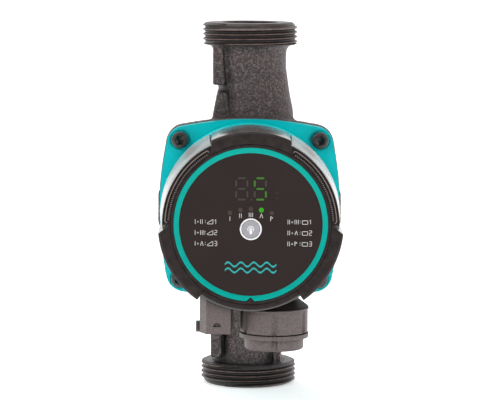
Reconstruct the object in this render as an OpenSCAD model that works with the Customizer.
// Inline wet-rotor circulator pump.
// Origin: centre of the lower (inlet) port's sealing face. +Z runs up the pipe, the front is -Y.
// Depths are counted forward from the pipe axis, along the motor axis.

/* [Pipe ports] */
// Distance between the two sealing faces
port_to_port = 180; // [178:1:190]
// Outside diameter of the G 1 1/2 threads
thread_d = 47.5; // [47.4:0.1:47.8]
// Pitch of the threads, 11 to the inch
thread_pitch = 2.309; // [2.2:0.001:2.4]
// Number of crests on each port
thread_crests = 5; // [4:1:5]
// Bore of both ports
port_bore_d = 28; // [26:1:29]
// Diameter of the upper cast neck behind its thread
neck_d = 36.2; // [36:0.2:37]
// Diameter of the lower cast neck behind its thread
lower_neck_d = 33.6; // [33:0.2:35]
// Sideways offset of the necks' flared roots
neck_offset = 2; // [1:0.1:2.2]

/* [Pump housing] */
// Radius of the volute casting
volute_r = 39; // [38:0.5:40]
// Depth of the casting behind the pipe axis
volute_back = 24; // [23:1:27]
// Radius of the volute chamber
chamber_r = 34; // [32:0.5:34]
// Thickness of the cast flange
cast_flange_t = 9; // [8:0.5:10]

/* [Stator housing] */
// Depth of the joint between pump housing and stator housing
joint_depth = 26; // [26:0.5:27]
// Width of the flange at the middle of its sides
flange_w = 87.8; // [87.6:0.2:89]
// Width of the flange at its corners
flange_corner_w = 81.2; // [80.2:0.2:83]
// Radius of the flange corners
flange_corner_r = 9; // [8:0.5:10]
// Thickness of the teal flange
flange_t = 6; // [5:0.5:7]
// Radius of the round part in front of the flange
drum_r = 42.6; // [42.4:0.1:42.8]
// Spacing of the four flange screws
screw_pitch = 68; // [67.5:0.5:69]

/* [Control box] */
// Depth where the control box starts
box_back = 52.3; // [52.2:0.1:53]
// Depth of the front face
box_front = 97; // [96:0.5:99]
// Radius of the box at the back
box_back_r = 43.2; // [43:0.1:43.4]
// Radius of the box at the front edge
box_front_r = 41.3; // [41.2:0.1:41.5]
// Radius of the three lugs
lug_r = 43.3; // [43.2:0.1:43.6]
// Width of the top lug
top_lug_w = 37.2; // [34:0.2:39]
// Outer radius of the teal trim ring
trim_r = 35.9; // [35.6:0.1:36]
// Radius of the dark panel
panel_r = 33.3; // [33:0.1:33.4]

/* [Button and display] */
// Radius of the button
button_r = 4.2; // [3.8:0.1:4.4]
// Height of the button's centre below the motor axis
button_drop = 2.1; // [1:0.1:4]
// Travel of the button
button_travel = 0.6; // [0.4:0.1:0.8]
// Height of the digits' middle above the motor axis
digits_rise = 16.7; // [15:0.1:18]
// Radius of each mode lamp
lamp_r = 1.2; // [1:0.1:1.4]

/* [Rotor] */
// Shaft diameter
shaft_d = 6; // [6:0.5:8]
// Outside radius of the rotor
rotor_r = 15.3; // [15:0.1:15.4]
// Impeller radius
impeller_r = 27; // [24:0.5:29]
// Number of impeller vanes
vanes = 6; // [5:1:8]

/* [Stator] */
// Number of stator teeth
teeth = 6; // [6:1:6]
// Outside radius of the core
core_r = 37.4; // [37:0.1:37.4]

/* [Cable gland] */
// Sideways place of the gland
gland_x = 11.5; // [10.5:0.1:12]
// Depth of the gland's axis
gland_depth = 74; // [72:1:76]
// Outside radius of the fluted collar
gland_r = 16.4; // [16:0.1:16.5]
// Radius of the cable hole in the rubber seal
cable_r = 4; // [3:0.5:5]

/* [Signal socket cover] */
// Width of the cover
cover_w = 16; // [15:0.5:16.5]
// Sideways place of the cover's middle
cover_x = -15.7; // [-16:0.1:-15]

/* [Hidden] */
$fn = 96;

cast_iron = "#332e2c";
teal = "#00a9a5";
black_plastic = "#2b2624";
steel = "#b8bcc0";
dark_steel = "#3a3634";
rubber = "#1a1a1a";
copper = "#b8692e";
board_green = "#1d6b3a";
ceramic = "#e8e4da";
ferrite = "#4a4a4e";
composite = "#d8d4c8";
laminations = "#8d9196";
part_black = "#20242c";
terminal_green = "#3d7a52";
lamp_grey = "#9aa79a";
panel_black = "#38302f";
ring_white = "#f4f4f4";
button_grey = "#9b9aa4";
contact_gold = "#c9a34a";

// Driving places along the motor axis
motor_z = port_to_port / 2;
cut = 1;
gap = 0.05;
fit_gap = 0.02;
running_gap = 0.05;

diaphragm_back = -2;
diaphragm_front = 3;
plate_depth = 20.1;
plate_t = 2;
register_r = 36.4;
gasket_r = 39;
gasket_t = 2;
lug_gap = 0.35;
flange_front = joint_depth + flange_t;
screw_half = screw_pitch / 2;

eye_r = 13.2;
neck_ring_t = 0.9;
collar_r = eye_r - neck_ring_t - 0.1;
suction_r = 20;
suction_back = volute_back - 6;

can_r = 16.4;
can_wall = 0.5;
can_front = 64.2;
can_flange_t = 0.6;
shaft_r = shaft_d / 2;
bearing_r = 7.9;
rotor_back = 30.2;
rotor_front = 56;
core_back = 32;
core_front = 56;

side_block_front = 45;
spigot_r = 40;
spigot_front = 64;
floor_depth = 64.5;
floor_t = 2;
board_depth = 70;
board_t = 1.6;
board_screw_turns = [30, 150, 210, 330];
display_depth = 88;
ring_depth = 91;
frame_r = 37.4;
trim_back = 93.2;
lug_seat_r = 41;
lug_back = 54;

button_z = -button_drop;
lamp_rise = 7.3;
lamp_pitch = 4.85;
lamp_drop = 0.45;
digit_gap = 8.6;

block_back = 62;
block_front = 88;
block_low = 37.2;
block_top = 57;
gland_low = 28.8;
gland_ledge = 34.3;
gland_lip = 36.6;
gland_top = 48.6;
sleeve_r = 7;
flutes = 6;
flute_turn = -90;

thread_depth = 1.48;
thread_lead = 1.1;
crest_flat = 0.35;
collar_len = thread_lead + (thread_crests - 1) * thread_pitch + 0.8;
inlet_len = 50;
outlet_len = 60;
top_of_board = board_depth + board_t + gap;
top_of_display = display_depth + board_t + gap;
board_screw_r = 31;
display_post_r = 36;
wire_hole_r = 24;
shoulder_front = 96.2;
rim_front = 96.7;
foot_r = 40;
panel_back = 94;
panel_front = 96.5;
pointer_tip_r = 34.2;

// Turns the local frame so that x stays right, y points up and z points forward.
module on_motor() {
    translate([0, 0, motor_z]) rotate([90, 0, 0]) children();
}

// Round disc or tube between two depths.
module disc(r, from, to) {
    translate([0, 0, from]) cylinder(r = r, h = to - from);
}
module tube(r_out, r_in, from, to) {
    difference() {
        disc(r_out, from, to);
        disc(r_in, from - cut, to + cut);
    }
}
module cone(r_from, r_to, from, to) {
    translate([0, 0, from]) cylinder(r1 = r_from, r2 = r_to, h = to - from);
}
module block(low, high) {
    translate(low) cube([high[0] - low[0], high[1] - low[1], high[2] - low[2]]);
}
// Wedge with its point on the axis, from angle a0 to a1.
module wedge(a0, a1, r, from, to) {
    steps = 8;
    rim = [for (i = [0 : steps]) let (a = a0 + (a1 - a0) * i / steps) [r * cos(a), r * sin(a)]];
    translate([0, 0, from]) linear_extrude(to - from) polygon(concat([[0, 0]], rim));
}
// Vertical post standing between two heights.
module post(x, depth, r, low, high) {
    translate([x, -depth, low]) cylinder(r = r, h = high - low);
}
module at_screws() {
    for (x = [-1, 1], y = [-1, 1]) translate([x * screw_half, y * screw_half, 0]) children();
}

// Points along an arc.
function arc_points(cx, cy, r, a0, a1, n) =
    [for (i = [0 : n]) let (a = a0 + (a1 - a0) * i / n) [cx + r * cos(a), cy + r * sin(a)]];
// One quarter of the crowned square: right side's upper half, corner, then top side's right half.
function quarter(half, corner, r) =
    let (
        reach = corner - r,
        rise = half - corner,
        side = [for (i = [0 : 4]) let (t = i / 5) [half - rise * t * t, reach * t]],
        top = [for (i = [4 : -1 : 1]) let (t = i / 5) [reach * t, half - rise * t * t]]
    )
    concat(side, arc_points(reach, reach, r, 6, 84, 8), top);
function turned(points, a) =
    [for (p = points) [p[0] * cos(a) - p[1] * sin(a), p[0] * sin(a) + p[1] * cos(a)]];
function crowned_square(half, corner, r) =
    [for (a = [0 : 90 : 270]) each turned(quarter(half, corner, r), a)];

module flange_outline(inset) {
    polygon(crowned_square(flange_w / 2 - inset, flange_corner_w / 2 - inset, flange_corner_r - inset));
}

// ---------- Pump housing ----------

// Threaded collar standing from z = 0 upwards, with its sealing face at z = 0.
module threaded_collar() {
    crest = thread_d / 2;
    root = crest - thread_depth;
    profile = concat(
        [[0, 0], [root, 0]],
        [for (i = [0 : thread_crests - 1]) let (z = thread_lead + i * thread_pitch) each [
            [root, z - 0.75], [crest, z - crest_flat / 2], [crest, z + crest_flat / 2], [root, z + 0.75]
        ]],
        [[root, collar_len], [0, collar_len]]
    );
    rotate_extrude() polygon(profile);
}

// Neck behind the collar, with a fillet under it, tapering where the flared root takes over.
module neck(neck_r, fillet) {
    profile = concat(
        [[0, collar_len - cut], [neck_r + fillet, collar_len - cut]],
        [for (a = [0 : 15 : 90]) [
            neck_r + fillet - fillet * sin(a), collar_len - 0.3 + fillet - fillet * cos(a)
        ]],
        [[neck_r, 22], [port_bore_d / 2 + 1, 36], [0, 36]]
    );
    rotate_extrude() polygon(profile);
}

// Root of a neck: widens towards the flange, off to the right of the pipe axis, and flares out onto its edge.
module neck_root() {
    flare_reach = 4.8;
    flare_rise = 6.5;
    root_r = 19.5;
    // the flange's crowned edge beside the neck
    flare_end = motor_z - flange_w / 2 + 2.3;
    cone_profile = [
        [0, 14], [14.6, 14], [16.05, 22], [17.7, 33.5], [18.8, 39.5],
        [root_r, flare_end - flare_rise], [root_r + 2, 66], [0, 66]
    ];
    fillet_profile = concat(
        [[root_r - 3, flare_end - flare_rise]],
        [for (a = [0 : 15 : 90]) [
            root_r + flare_reach * (1 - cos(a)), flare_end - flare_rise * (1 - sin(a))
        ]],
        [[root_r + flare_reach, 60], [root_r - 3, 60]]
    );
    translate([neck_offset, 0, 0]) {
        rotate_extrude() polygon(cone_profile);
        intersection() {
            rotate_extrude() polygon(fillet_profile);
            block([-30, -joint_depth + 0.5, 30], [30, -7, 62]);
        }
    }
}

// Ribs on the left of the upper neck: a straight block over a leaning one.
module neck_ribs_upper() {
    difference() {
        block([-18.4, -16.2, 149.5], [-10, 4, 167.6]);
        translate([-11.4, -20, 140]) rotate([0, -4, 0]) cube([8, 30, 40]);
    }
    difference() {
        block([-18.6, -17.2, 128], [-10.6, 4, 146]);
        translate([-18.5, -20, 134]) rotate([0, 11, 0]) translate([-5, 0, -12]) cube([5, 30, 30]);
    }
}

// Ribs of the lower neck: a long block on the left, two thin ribs on the right.
module neck_ribs_lower() {
    block([-18.9, -15.2, 14], [-13.4, 4, 48]);
    block([12.1, -15.5, 10.8], [13.5, 0, 22]);
    block([14.7, -13.5, 10.8], [16.1, 0, 22]);
}

module housing_solid() {
    threaded_collar();
    neck(lower_neck_d / 2, 2.4);
    neck_root();
    translate([0, 0, port_to_port]) mirror([0, 0, 1]) {
        threaded_collar();
        neck(neck_d / 2, 4);
        neck_root();
    }
    neck_ribs_upper();
    neck_ribs_lower();
    on_motor() {
        cone(volute_r - 9, volute_r, -volute_back, -volute_back + 9);
        disc(volute_r, -volute_back + 9, joint_depth - cast_flange_t + 1);
        translate([0, 0, joint_depth - cast_flange_t]) linear_extrude(cast_flange_t) flange_outline(-0.6);
        at_screws() disc(5.1, joint_depth - 15, joint_depth - cast_flange_t + 1);
        // pads at the middle of the flange's two sides
        for (x = [-1, 1]) on_side(x) block([flange_w / 2 - 3, -7.6, joint_depth - cast_flange_t],
            [flange_w / 2 + 1, 7.6, joint_depth]);
    }
}

// Copies a right-hand shape to the left for side = -1.
module on_side(side) {
    if (side > 0) children();
    else mirror([1, 0, 0]) children();
}

module pump_housing() {
    port_r = port_bore_d / 2;
    color(cast_iron) difference() {
        housing_solid();
        translate([0, 0, -cut]) cylinder(r = port_r, h = inlet_len + cut);
        translate([0, 0, port_to_port - outlet_len]) cylinder(r = port_r, h = outlet_len + cut);
        block([-11, -diaphragm_back, inlet_len - 1], [11, suction_back - 2.5, motor_z - 8]);
        on_motor() {
            disc(suction_r, -suction_back, diaphragm_back);
            disc(eye_r, diaphragm_back - cut, diaphragm_front + cut);
            disc(chamber_r, diaphragm_front, plate_depth + cut);
            disc(register_r, plate_depth, joint_depth + cut);
            disc(gasket_r + gap, joint_depth - gasket_t, joint_depth + cut);
            at_screws() disc(2.2, joint_depth - 13, joint_depth + cut);
        }
    }
}

module neck_ring() {
    color(steel) on_motor()
        tube(eye_r - fit_gap, eye_r - neck_ring_t, diaphragm_back, diaphragm_front);
}

module housing_gasket() {
    color(rubber) on_motor()
        tube(gasket_r, register_r + 0.1, joint_depth - gasket_t + gap, joint_depth - gap);
}

// ---------- Wet end and rotor ----------

module bearing_plate() {
    boss_r = 10;
    boss_front = 27.5;
    color(steel) on_motor() difference() {
        union() {
            disc(register_r - gap, plate_depth + gap, plate_depth + plate_t);
            disc(boss_r, plate_depth + gap, boss_front);
        }
        disc(bearing_r + fit_gap - 1.5, plate_depth - cut, boss_front + cut);
        for (a = [45 : 90 : 315]) rotate(a) translate([24, 0, 0]) disc(1.5, plate_depth - cut, boss_front);
    }
}

module rear_bearing() {
    color(rubber) on_motor() tube(bearing_r - 1.5, shaft_r + running_gap, plate_depth + 0.3, 28.2);
}

module thrust_bearing() {
    color(ceramic) on_motor() tube(7, shaft_r + running_gap, 28.3, 29.8);
}

module rotor_can() {
    flange_back = plate_depth + plate_t + gap;
    color(steel) on_motor() union() {
        tube(can_r, can_r - can_wall, flange_back, can_front);
        tube(register_r - gap, can_r - can_wall, flange_back, flange_back + can_flange_t);
        disc(can_r, can_front - can_wall, can_front);
    }
}

module bearing_seat() {
    color(dark_steel) on_motor()
        tube(can_r - can_wall - gap, bearing_r + fit_gap, rotor_front + 1.5, can_front - can_wall - gap);
}

module front_bearing() {
    color(rubber) on_motor() tube(bearing_r, shaft_r + running_gap, rotor_front + 1.2, 63);
}

module shaft() {
    color(ceramic) on_motor() disc(shaft_r, 5, 62.5);
}

module rotor_magnet() {
    color(ferrite) on_motor() tube(rotor_r - 0.7, shaft_r + fit_gap, rotor_back, rotor_front);
}

module rotor_cladding() {
    color(steel) on_motor() difference() {
        disc(rotor_r, rotor_back - 0.3, rotor_front + 0.3);
        disc(rotor_r - 0.7 + fit_gap, rotor_back - fit_gap, rotor_front + fit_gap);
        disc(shaft_r + fit_gap + 0.5, rotor_back - cut, rotor_front + cut);
    }
}

// One backward-curved vane: an arc of a circle that starts near the hub and ends along the rim.
module vane(r_in, r_out, t, from, to) {
    arc_r = r_out / 2 + 0.8;
    intersection() {
        translate([arc_r - 0.5, 0, 0]) tube(arc_r + t / 2, arc_r - t / 2, from, to);
        tube(r_out, r_in, from - cut, to + cut);
        block([0, 0.5, from - cut], [r_out, r_out, to + cut]);
    }
}

module impeller() {
    back_disc = 16.8;
    color(composite) on_motor() difference() {
        union() {
            disc(6, 6, 18.6);
            disc(impeller_r, back_disc, 18.3);
            for (i = [0 : vanes - 1]) rotate(i * 360 / vanes)
                vane(11, impeller_r - 0.6, 1.5, 8.05, back_disc + 0.5);
        }
        disc(shaft_r + fit_gap, 4, 20);
    }
}

module impeller_shroud() {
    color(composite) on_motor() difference() {
        union() {
            disc(impeller_r, 6.6, 8);
            disc(collar_r, diaphragm_back + 0.3, 7);
        }
        disc(collar_r - 1.6, diaphragm_back - cut, 9);
    }
}

// ---------- Stator ----------

module screw_pocket() {
    disc(5, flange_front - 0.8, flange_front + cut);
    disc(2.8, joint_depth - 5, flange_front + cut);
}

// Blocks beside the drum, with round corners, standing a little proud of it.
module side_block_outline() {
    side = 41;
    tall = 17;
    corner = 3.5;
    polygon([for (q = [0 : 3])
        let (sx = q == 0 || q == 3 ? 1 : -1, sy = q < 2 ? 1 : -1)
        each arc_points(sx * (side - corner), sy * (tall - corner), corner, q * 90, q * 90 + 90, 5)]);
}

module stator_housing() {
    color(teal) on_motor() difference() {
        union() {
            translate([0, 0, joint_depth]) linear_extrude(flange_t - 0.6) flange_outline(0);
            translate([0, 0, flange_front - 0.7]) linear_extrude(0.7) flange_outline(0.6);
            disc(drum_r, flange_front - cut, box_back - 0.9);
            disc(drum_r - 0.6, box_back - 1, box_back - 0.3);
            disc(spigot_r, box_back - cut, spigot_front);
            translate([0, 0, flange_front - cut]) linear_extrude(side_block_front - flange_front + cut)
                side_block_outline();
            tube(register_r - gap, 30, plate_depth + plate_t + can_flange_t + 2 * gap, joint_depth + cut);
        }
        disc(core_r + 0.1, joint_depth + 3, spigot_front - 2.5);
        disc(30, joint_depth - 5, joint_depth + 4);
        disc(can_r + 0.4, joint_depth, spigot_front + cut);
        for (a = [60, 180, 300]) rotate(a) translate([wire_hole_r, 0, 0]) disc(3, 50, spigot_front + cut);
        at_screws() screw_pocket();
    }
}

module flange_screws() {
    head_r = 4.1;
    head_h = 5;
    seat = flange_front - 0.75;
    color(dark_steel) on_motor() at_screws() difference() {
        union() {
            disc(head_r, seat, seat + head_h - 0.5);
            cone(head_r, head_r - 0.5, seat + head_h - 0.5, seat + head_h);
            disc(2.15, joint_depth - 12, seat + cut);
        }
        translate([0, 0, seat + 1.4]) cylinder(r = 2.5, h = head_h, $fn = 6);
    }
}

module each_tooth() {
    for (i = [0 : teeth - 1]) rotate(i * 360 / teeth) children();
}

module stator_core() {
    bore_r = 16.8;
    yoke_r = 32.6;
    tooth_half = 4.5;
    color(laminations) on_motor() difference() {
        union() {
            tube(core_r, yoke_r, core_back, core_front);
            intersection() {
                union() {
                    each_tooth()
                        block([bore_r - 2, -tooth_half, core_back], [yoke_r + 1, tooth_half, core_front]);
                    each_tooth() intersection() {
                        disc(19.4, core_back, core_front);
                        wedge(-25, 25, 40, core_back, core_front);
                    }
                }
                disc(yoke_r + 1.5, core_back, core_front);
            }
        }
        disc(bore_r, core_back - cut, core_front + cut);
    }
}

module bobbin_ring(r0, r1, half_out, half_in, back, front, back_in, front_in) {
    difference() {
        block([r0, -half_out, back], [r1, half_out, front]);
        block([r0 - cut, -half_in, back_in], [r1 + cut, half_in, front_in]);
    }
}

module slot_insulators() {
    color(ceramic) on_motor() each_tooth() union() {
        bobbin_ring(19.9, 30.6, 5.2, 4.6, 31.2, 56.8, 31.9, 56.1);
        bobbin_ring(19.9, 20.7, 8.6, 4.6, 29.6, 58.8, 31.9, 56.1);
        bobbin_ring(29.8, 30.6, 8.6, 4.6, 29.6, 58.8, 31.9, 56.1);
    }
}

module stator_windings() {
    color(copper) on_motor() each_tooth()
        bobbin_ring(20.75, 29.75, 8.2, 5.25, 29.8, 58.6, 31.15, 56.85);
}

// ---------- Control box ----------

module base_seal() {
    color(rubber) on_motor()
        tube(spigot_r - gap, spigot_r - 1.6, spigot_front + gap, floor_depth - gap);
}

// Sectors of the two lower lugs, as pairs of angles from the right-hand side, counter-clockwise.
lug_sectors = [[186, 235], [305, 354]];

// Space of the three lugs between two radii and two depths, eased by an angle at every side.
module lug_space(r_in, r_out, from, to, ease) {
    side = top_lug_w / 2 + ease * lug_r * PI / 180;
    for (s = lug_sectors) intersection() {
        tube(r_out, r_in, from, to);
        wedge(s[0] - ease, s[1] + ease, 60, from - cut, to + cut);
    }
    intersection() {
        tube(r_out, r_in, from, to);
        block([-side, 0, from - cut], [side, 60, to + cut]);
    }
}

module box_cone(extra) {
    cone(box_back_r + extra, box_front_r + extra, box_back, ring_depth);
}

module control_base() {
    inner_r = 39.6;
    color(black_plastic) on_motor() difference() {
        union() {
            difference() {
                box_cone(0);
                disc(spigot_r + 0.1, box_back - cut, floor_depth);
                disc(inner_r, floor_depth + floor_t, ring_depth + cut);
            }
            for (a = board_screw_turns) rotate(a) translate([board_screw_r, 0, 0])
                disc(3.2, floor_depth + floor_t - cut, board_depth - gap);
            for (a = [0, 180]) rotate(a) translate([display_post_r, 0, 0])
                disc(2.6, floor_depth + 1, display_depth - gap);
        }
        lug_space(lug_seat_r, 50, lug_back - 0.5, ring_depth + cut, 0.6);
        for (a = [60, 180, 300]) rotate(a) translate([wire_hole_r, 0, 0])
            disc(3, floor_depth - cut, floor_depth + floor_t + cut);
        for (a = board_screw_turns) rotate(a) translate([board_screw_r, 0, 0])
            disc(1.3, floor_depth + floor_t, board_depth + cut);
        // ways in for the mains and signal wires, and room for the turning collar
        rotate([90, 0, 0]) translate([gland_x, gland_depth, 30]) cylinder(r = 6, h = 20);
        rotate([90, 0, 0]) translate([cover_x, (block_back + block_front) / 2, 30])
            translate([-4.5, -4, 0]) cube([9, 8, 20]);
        rotate([90, 0, 0]) translate([gland_x, gland_depth, motor_z - gland_top - lug_gap])
            cylinder(r = gland_r + lug_gap, h = 12);
    }
}

module board_screws() {
    color(steel) on_motor() for (a = board_screw_turns)
    rotate(a) translate([board_screw_r, 0, 0]) difference() {
        union() {
            disc(2.6, board_depth + board_t + gap, board_depth + board_t + 1.9);
            disc(1.25, board_depth - 3, board_depth + board_t + 1);
        }
        translate([0, 0, board_depth + board_t + 1]) cylinder(r = 1.2, h = 2, $fn = 6);
    }
}

module main_board() {
    board_r = 38.6;
    color(board_green) on_motor() difference() {
        disc(board_r, board_depth, board_depth + board_t);
        for (a = board_screw_turns) rotate(a) translate([board_screw_r, 0, 0])
            disc(1.5, board_depth - cut, 80);
        for (a = [0, 180]) rotate(a) translate([display_post_r, 0, 0]) disc(3, board_depth - cut, 80);
        for (a = [60, 180, 300]) rotate(a) translate([wire_hole_r, 0, 0]) disc(2, board_depth - cut, 80);
    }
}

module capacitors() {
    color(part_black) on_motor() for (x = [-7, 7]) translate([x, 16, 0]) difference() {
        disc(6.2, top_of_board, top_of_board + 14.5);
        tube(7, 5.8, top_of_board + 1.6, top_of_board + 2.4);
        for (a = [0, 60, 120]) rotate(a) translate([-5, -0.2, top_of_board + 14.2]) cube([10, 0.4, 1]);
    }
}

module mains_choke() {
    color(copper) on_motor() translate([-17, -4, top_of_board + 6]) {
        rotate_extrude() translate([6.4, 0]) circle(r = 2.6);
        for (i = [0 : 11]) rotate(i * 30 + 15) translate([6.4, 0, 0]) rotate([90, 0, 0])
            translate([0, 0, -0.8]) cylinder(r = 3.1, h = 1.6);
        for (x = [-3, 3]) translate([x, -6.4, -6]) cylinder(r = 0.5, h = 4.2);
    }
}

module power_module() {
    color(part_black) on_motor() union() {
        translate([-7, -13, top_of_board]) cube([26, 14, 3.4]);
        for (i = [0 : 9]) translate([-5.6 + 2.5 * i, -14.2, top_of_board]) cube([0.8, 1.4, 1.2]);
    }
}

module terminal_block() {
    color(terminal_green) on_motor() translate([3, -29, top_of_board]) difference() {
        cube([18, 10, 9]);
        for (i = [0 : 2]) {
            translate([3.4 + 5.6 * i, 6, 4]) cylinder(r = 2, h = 6);
            translate([1.4 + 5.6 * i, -cut, 1.5]) cube([4, 4, 3.6]);
        }
    }
}

module display_board() {
    color(board_green) on_motor() difference() {
        disc(39.2, display_depth, display_depth + board_t);
        for (a = [0, 180]) rotate(a) translate([display_post_r, 0, 0]) disc(1.2, display_depth - cut, 95);
    }
}

// Outline of one seven-segment digit's recesses, on its own centre.
module segment_slots() {
    long = 4.2;
    wide = 0.9;
    for (y = [-5, 0, 5]) translate([-long / 2, y - wide / 2, 0]) cube([long, wide, 1]);
    for (x = [-2.6, 2.6], y = [-2.5, 2.5]) translate([x - wide / 2, y - long / 2 + 0.3, 0])
        cube([wide, long - 0.6, 1]);
}

module digit_display() {
    color(part_black) on_motor() translate([0, digits_rise, 0]) difference() {
        translate([-9.4, -7.2, top_of_display]) cube([18.8, 14.4, 4]);
        for (x = [-1, 1]) translate([x * digit_gap / 2, 0, top_of_display + 3.5]) segment_slots();
    }
}

// Mode lamps stand on a shallow arc under the digits.
module at_lamps() {
    for (i = [-2 : 2]) translate([lamp_pitch * i, lamp_rise - lamp_drop * i * i, 0]) children();
}

module mode_lamps() {
    color(lamp_grey) on_motor() at_lamps() union() {
        disc(lamp_r + 0.3, top_of_display, top_of_display + 1);
        disc(lamp_r, top_of_display + 0.9, 93.9);
    }
}

module button_switch() {
    color(part_black) on_motor() translate([0, button_z, 0]) union() {
        translate([-3, -3, top_of_display]) cube([6, 6, 1.5]);
        disc(1.6, top_of_display + 1.4, 91.6);
    }
}

module clamp_ring() {
    inner = frame_r + 0.1;
    back = ring_depth + gap;
    color(black_plastic) on_motor() difference() {
        union() {
            tube(box_front_r, inner, back, shoulder_front);
            tube(box_front_r - 0.8, inner, shoulder_front - cut, rim_front);
            lug_space(lug_seat_r + 0.1, lug_r, lug_back, shoulder_front, 0);
            lug_space(inner, lug_r, back, box_front - 0.5, 0);
            lug_space(inner, lug_r - 0.5, back + cut, box_front, 0);
            intersection() {
                tube(foot_r, inner, back, box_front);
                wedge(234, 306, 60, ring_depth, box_front);
            }
        }
        // the foot of the ring is cut back between the lower lugs
        difference() {
            wedge(235, 305, 60, lug_back - cut, box_front + cut);
            disc(foot_r, lug_back - 2, box_front + 2);
        }
        // grip grooves between the lugs
        for (s = [[116, 186], [-6, 64]]) intersection() {
            union() {
                tube(40.2, 39.2, rim_front - 1.3, box_front + cut);
                tube(38.7, 37.9, rim_front - 0.9, box_front + cut);
            }
            wedge(s[0] + 1.5, s[1] - 1.5, 60, ring_depth, box_front + 2 * cut);
        }
    }
}

// Pointer at six o'clock: a small gable whose tip points to the panel.
module pointer_outline(extra) {
    polygon([
        [0, -pointer_tip_r + extra], [1.5 + extra, -trim_r + 0.3], [1.5 + extra, -frame_r + 0.5],
        [-1.5 - extra, -frame_r + 0.5], [-1.5 - extra, -trim_r + 0.3]
    ]);
}

module fascia_frame() {
    color(black_plastic) on_motor() union() {
        tube(frame_r, trim_r + gap, ring_depth + 0.2, box_front - 0.1);
        tube(frame_r - 0.2, panel_r - 1.2, ring_depth + 0.2, trim_back);
        translate([0, 0, trim_back - cut]) linear_extrude(box_front - trim_back + cut) pointer_outline(0);
    }
}

module trim_ring() {
    color(teal) on_motor() difference() {
        tube(trim_r, panel_r + gap, trim_back + gap, box_front - 0.25);
        translate([0, 0, trim_back - cut]) linear_extrude(6) pointer_outline(0.1);
    }
}

module fascia_panel() {
    color(panel_black) on_motor() difference() {
        disc(panel_r, panel_back, panel_front);
        translate([0, button_z, 0]) disc(button_r + 0.95, panel_back - cut, panel_front + cut);
        translate([0, digits_rise, 0]) block([-9.6, -7.4, panel_back - cut], [9.6, 7.4, panel_front - 0.8]);
        at_lamps() disc(lamp_r + 0.1, panel_back - cut, panel_front - 0.8);
    }
}

module button_bezel() {
    color(ring_white) on_motor() translate([0, button_z, 0])
        tube(button_r + 0.9, button_r + 0.15, panel_back, panel_front + 0.25);
}

module button() {
    color(button_grey) on_motor() translate([0, button_z, 0]) union() {
        disc(button_r, 93.3, 96.7);
        disc(button_r + 1.2, 92.6, 93.4);
        disc(2.2, 91.6 + button_travel + 0.1, 92.7);
    }
}

// ---------- Signal socket, under the left of the control box ----------

module signal_socket() {
    wall = 1.4;
    low = block_low + 3;
    middle = -(block_back + block_front) / 2;
    color(black_plastic) difference() {
        block([cover_x - 5.6, -block_front + 4, low], [cover_x + 5.6, -block_back - 4, 54]);
        block([cover_x - 5.6 + wall, -block_front + 4 + wall, low - cut],
            [cover_x + 5.6 - wall, -block_back - 4 - wall, 47]);
        for (i = [-1 : 1]) translate([cover_x - 0.4 - gap + 2.6 * i, middle - 1.2 - gap, 46])
            cube([0.8 + 2 * gap, 2.4 + 2 * gap, 12]);
        on_motor() box_cone(gap);
    }
}

module signal_pins() {
    middle = -(block_back + block_front) / 2;
    color(contact_gold) for (i = [-1 : 1])
        translate([cover_x - 0.4 + 2.6 * i, middle - 1.2, block_low + 5]) cube([0.8, 2.4, 14]);
}

// Cap over the socket. It pulls off downwards.
module signal_cover() {
    half = cover_w / 2;
    corner = 3.2;
    back_corner = 1.2;
    step_w = 1.4;
    step_t = 8;
    front = -block_front;
    back = -block_back;
    outline = [
        [cover_x - half, back - back_corner], [cover_x - half + back_corner, back],
        [cover_x + half - back_corner, back], [cover_x + half, back - back_corner],
        [cover_x + half, front + step_t], [cover_x + half - step_w, front + step_t],
        [cover_x + half - step_w, front],
        [cover_x - half + corner, front], [cover_x - half, front + 6.5]
    ];
    mark_z = 40.6;
    mark_r = 1.9;
    mark_depth = 0.9;
    color(black_plastic) difference() {
        union() {
            translate([0, 0, block_low]) linear_extrude(block_top - block_low) polygon(outline);
            block([cover_x - half - 1.8, front + 9, block_low - 0.2],
                [cover_x - half + 1, front + 15, block_low + 4.3]);
        }
        block([cover_x - 6.2, front + 3.4, block_low + 1.4], [cover_x + 5.95, back - 3.4, 60]);
        on_motor() box_cone(lug_gap);
        // half-moon finger mark
        translate([cover_x + 0.2, front + mark_depth, mark_z]) rotate([90, 0, 0]) intersection() {
            cylinder(r = mark_r, h = mark_depth + cut);
            translate([-3, 0, -cut]) cube([6, 3, 5]);
        }
    }
}

// ---------- Cable gland, under the right of the control box ----------

module gland_stub() {
    low = gland_lip + 1.2;
    hood_low = gland_top + lug_gap;
    color(black_plastic) difference() {
        union() {
            post(gland_x, gland_depth, 11.6, low, 55);
            post(gland_x, gland_depth, 14.2, gland_top - 2.1, hood_low + 0.2);
            translate([gland_x, -gland_depth, hood_low]) cylinder(r1 = gland_r - 0.2, r2 = 11.4, h = 3.6);
        }
        post(gland_x, gland_depth, 8.2, low - cut, 56);
        on_motor() box_cone(gap);
    }
}

// Rubber seal: a plug round the cable with a flange, and a sleeve that comes out of the gland's mouth.
module gland_seal() {
    color(rubber) difference() {
        union() {
            post(gland_x, gland_depth, 8, gland_ledge + 0.5, 46);
            post(gland_x, gland_depth, 11, gland_ledge + 0.4, gland_lip + 1.15);
            post(gland_x, gland_depth, sleeve_r, gland_low - 0.3, gland_ledge + cut);
        }
        post(gland_x, gland_depth, cable_r, gland_low - cut, 60);
    }
}

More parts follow.
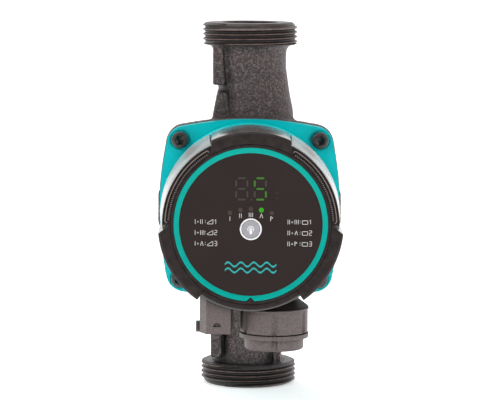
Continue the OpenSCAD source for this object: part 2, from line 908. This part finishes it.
module gland_body() {
    color(black_plastic) difference() {
        union() {
            post(gland_x, gland_depth, 14, gland_low + 0.5, gland_ledge + cut);
            post(gland_x, gland_depth, 13.5, gland_low, gland_ledge);
            post(gland_x, gland_depth, gland_r - 0.1, gland_ledge, gland_lip - 0.2);
            post(gland_x, gland_depth, 13.4, gland_ledge, 45.6);
        }
        post(gland_x, gland_depth, 11.8, gland_ledge + 0.3, 50);
        post(gland_x, gland_depth, sleeve_r + gap, gland_low - cut, gland_ledge + cut);
        // index groove at the front, in line with one of the collar's flutes
        rotate_about_gland(flute_turn) {
            translate([14.6, 0, gland_low - cut]) cylinder(r = 1.5, h = gland_ledge - gland_low + cut);
            translate([gland_r + 0.5, 0, gland_ledge - 0.1]) cylinder(r = 1.25, h = 3);
        }
    }
}

// Turns its children round the gland's axis.
module rotate_about_gland(a) {
    translate([gland_x, -gland_depth, 0]) rotate(a) children();
}

// Fluted collar that draws the gland together. It turns a sixth of a turn.
module gland_ring() {
    inner = 13.5;
    low = gland_lip + 0.15;
    color(black_plastic) difference() {
        union() {
            post(gland_x, gland_depth, gland_r - 0.45, low, gland_top - 0.9);
            post(gland_x, gland_depth, gland_r, gland_top - 1, gland_top);
        }
        post(gland_x, gland_depth, inner, low - cut, gland_top - 3);
        post(gland_x, gland_depth, 14.8, gland_top - 4, gland_top + cut);
        for (i = [0 : flutes - 1]) rotate_about_gland(i * 60 + flute_turn)
            translate([gland_r + 0.35, 0, low + 0.4]) cylinder(r = 1.25, h = gland_top - low - 1.8);
    }
}
pump_housing();
neck_ring();
housing_gasket();
bearing_plate();
rear_bearing();
thrust_bearing();
rotor_can();
bearing_seat();
front_bearing();
shaft();
rotor_magnet();
rotor_cladding();
impeller();
impeller_shroud();
stator_housing();
flange_screws();
stator_core();
slot_insulators();
stator_windings();
base_seal();
control_base();
board_screws();
main_board();
capacitors();
mains_choke();
power_module();
terminal_block();
display_board();
digit_display();
mode_lamps();
button_switch();
clamp_ring();
fascia_frame();
trim_ring();
fascia_panel();
button_bezel();
button();
signal_socket();
signal_pins();
signal_cover();
gland_stub();
gland_seal();
gland_body();
gland_ring();
